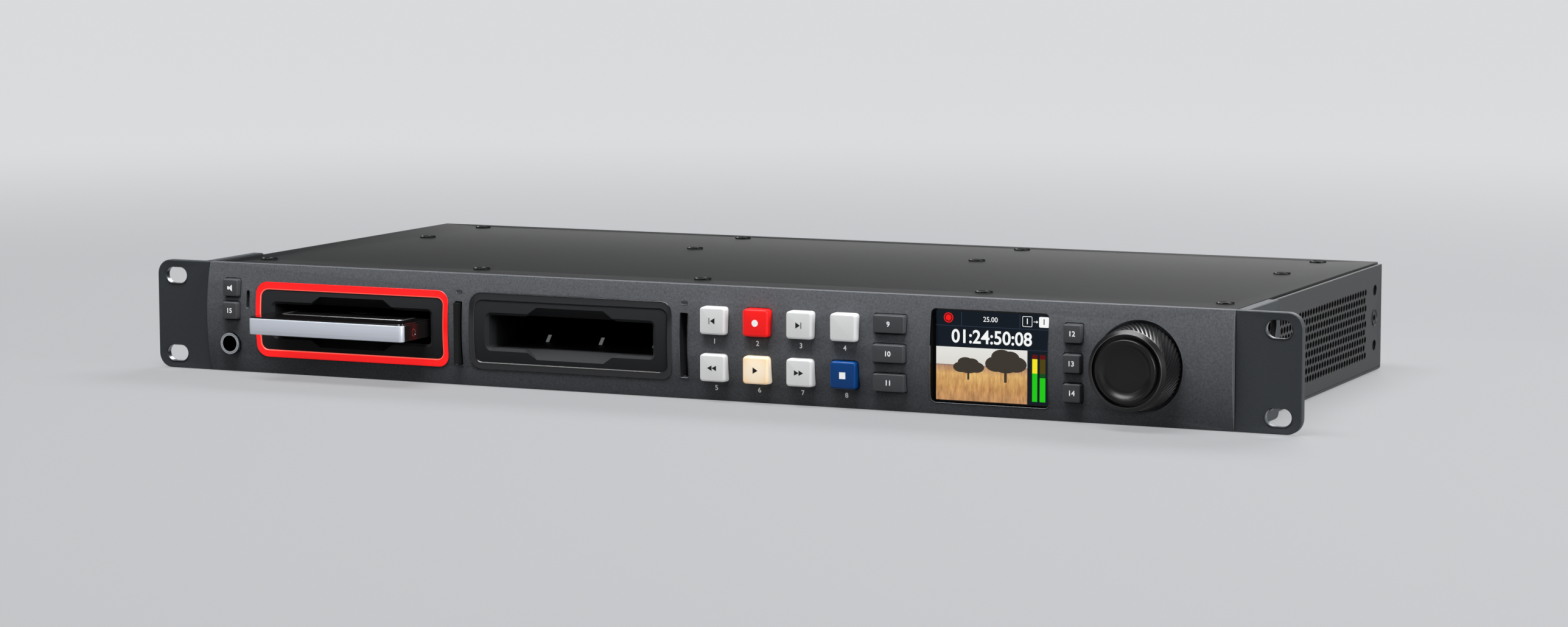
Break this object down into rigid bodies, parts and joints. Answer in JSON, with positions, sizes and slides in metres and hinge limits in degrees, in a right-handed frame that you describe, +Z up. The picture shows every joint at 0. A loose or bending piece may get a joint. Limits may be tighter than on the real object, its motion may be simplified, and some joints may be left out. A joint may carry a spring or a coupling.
{
  "type": "rack-mount video recorder",
  "caption": "Slim rack-mount video recorder with lit drive bays, card slots, transport keys, colour screen and knurled jog dial.",
  "frame": {"origin": "centre of the four rack slots, on the rear face of the ears", "axes": "+X to the right of the front, +Y from the front to the back, +Z up"},
  "size_m": [0.4826, 0.226, 0.044],
  "materials": {
    "panel_paint": "metallic grey paint with fine sparkle",
    "ear_paint": "dark grey grained paint",
    "case_paint": "satin black powder coat",
    "bare_steel": "bare steel",
    "bezel_plastic": "satin dark grey",
    "red_light": "red light guide, lit",
    "dark_light": "light guide, not lit",
    "black_plastic": "matt black",
    "drive_metal": "fine horizontal brushing",
    "black_gloss": "gloss black",
    "clear_light": "clear light pipe",
    "plated_metal": "bright nickel plating",
    "dial_black": "satin black",
    "screen_window": "polished window",
    "board_green": "dark green circuit board",
    "key_grey": "light grey translucent",
    "key_black": "dark grey satin",
    "key_red": "red translucent",
    "key_lit": "warm white, lit from behind",
    "key_blue": "blue translucent"
  },
  "bodies": {
    "case": {"front_panel": "panel_paint", "rack_ear_left": "ear_paint", "rack_ear_right": "ear_paint", "chassis_tray": "case_paint", "top_cover": "case_paint", "rear_panel": "case_paint", "front_rail": "bare_steel", "middle_rail": "bare_steel", "bay_plate_left": "bezel_plastic", "bay_plate_right": "bezel_plastic", "light_ring_left": "red_light", "light_ring_right": "dark_light", "drive_cage_left": "black_plastic", "drive_cage_right": "black_plastic", "drive_socket_left": "black_plastic", "drive_socket_right": "black_plastic", "card_reader_1": "black_plastic", "card_reader_2": "black_plastic", "status_lights": "clear_light", "headphone_jack": "plated_metal", "dial_encoder": "bare_steel", "screen_glass": "screen_window", "display_module": "black_plastic", "control_board": "board_green", "side_board": "board_green", "key_switches": "black_plastic", "main_board": "board_green", "power_supply": "bare_steel", "fan_frame": "black_plastic", "bnc_connectors": "plated_metal", "hdmi_sockets": "plated_metal", "usb_socket": "plated_metal", "lan_socket": "plated_metal", "remote_port": "plated_metal", "power_inlet": "black_plastic"},
    "drive": {"drive_body": "drive_metal", "drive_lid": "black_gloss"},
    "card": {"memory_card": "black_plastic"},
    "dial": {"jog_dial": "dial_black", "dial_cap": "dial_black", "dial_shaft": "bare_steel"},
    "fan": {"fan_rotor": "black_plastic"},
    "key_skip_back": {"key_skip_back": "key_grey"},
    "key_record": {"key_record": "key_red"},
    "key_skip_forward": {"key_skip_forward": "key_grey"},
    "key_input": {"key_input": "key_grey"},
    "key_rewind": {"key_rewind": "key_grey"},
    "key_play": {"key_play": "key_lit"},
    "key_fast_forward": {"key_fast_forward": "key_grey"},
    "key_stop": {"key_stop": "key_blue"},
    "key_search": {"key_search": "key_black"},
    "key_menu": {"key_menu": "key_black"},
    "key_set": {"key_set": "key_black"},
    "key_shuttle": {"key_shuttle": "key_black"},
    "key_jog": {"key_jog": "key_black"},
    "key_scroll": {"key_scroll": "key_black"},
    "key_mute": {"key_mute": "key_black"},
    "key_remote": {"key_remote": "key_black"}
  },
  "joints": [
    {"name": "press_skip_back", "type": "slide", "parent": "case", "child": "key_skip_back", "axis": [0, 1, 0], "range_m": [0, 0.0012], "stiffness_N_per_m": 600},
    {"name": "press_record", "type": "slide", "parent": "case", "child": "key_record", "axis": [0, 1, 0], "range_m": [0, 0.0012], "stiffness_N_per_m": 600},
    {"name": "press_skip_forward", "type": "slide", "parent": "case", "child": "key_skip_forward", "axis": [0, 1, 0], "range_m": [0, 0.0012], "stiffness_N_per_m": 600},
    {"name": "press_input", "type": "slide", "parent": "case", "child": "key_input", "axis": [0, 1, 0], "range_m": [0, 0.0012], "stiffness_N_per_m": 600},
    {"name": "press_rewind", "type": "slide", "parent": "case", "child": "key_rewind", "axis": [0, 1, 0], "range_m": [0, 0.0012], "stiffness_N_per_m": 600},
    {"name": "press_play", "type": "slide", "parent": "case", "child": "key_play", "axis": [0, 1, 0], "range_m": [0, 0.0012], "stiffness_N_per_m": 600},
    {"name": "press_fast_forward", "type": "slide", "parent": "case", "child": "key_fast_forward", "axis": [0, 1, 0], "range_m": [0, 0.0012], "stiffness_N_per_m": 600},
    {"name": "press_stop", "type": "slide", "parent": "case", "child": "key_stop", "axis": [0, 1, 0], "range_m": [0, 0.0012], "stiffness_N_per_m": 600},
    {"name": "press_search", "type": "slide", "parent": "case", "child": "key_search", "axis": [0, 1, 0], "range_m": [0, 0.0012], "stiffness_N_per_m": 600},
    {"name": "press_menu", "type": "slide", "parent": "case", "child": "key_menu", "axis": [0, 1, 0], "range_m": [0, 0.0012], "stiffness_N_per_m": 600},
    {"name": "press_set", "type": "slide", "parent": "case", "child": "key_set", "axis": [0, 1, 0], "range_m": [0, 0.0012], "stiffness_N_per_m": 600},
    {"name": "press_shuttle", "type": "slide", "parent": "case", "child": "key_shuttle", "axis": [0, 1, 0], "range_m": [0, 0.0012], "stiffness_N_per_m": 600},
    {"name": "press_jog", "type": "slide", "parent": "case", "child": "key_jog", "axis": [0, 1, 0], "range_m": [0, 0.0012], "stiffness_N_per_m": 600},
    {"name": "press_scroll", "type": "slide", "parent": "case", "child": "key_scroll", "axis": [0, 1, 0], "range_m": [0, 0.0012], "stiffness_N_per_m": 600},
    {"name": "press_mute", "type": "slide", "parent": "case", "child": "key_mute", "axis": [0, 1, 0], "range_m": [0, 0.0012], "stiffness_N_per_m": 600},
    {"name": "press_remote", "type": "slide", "parent": "case", "child": "key_remote", "axis": [0, 1, 0], "range_m": [0, 0.0012], "stiffness_N_per_m": 600},
    {"name": "turn_dial", "type": "hinge", "parent": "case", "child": "dial", "pos_m": [0.1808, -0.018, 0], "axis": [0, 1, 0], "continuous": true},
    {"name": "slide_drive", "type": "slide", "parent": "case", "child": "drive", "axis": [0, -1, 0], "range_m": [-0.0203, 0.06]},
    {"name": "slide_card", "type": "slide", "parent": "case", "child": "card", "axis": [0, -1, 0], "range_m": [-0.001, 0.008]},
    {"name": "spin_fan", "type": "hinge", "parent": "case", "child": "fan", "pos_m": [0.2101, 0.082, -0.0008], "axis": [1, 0, 0], "continuous": true}
  ]
}
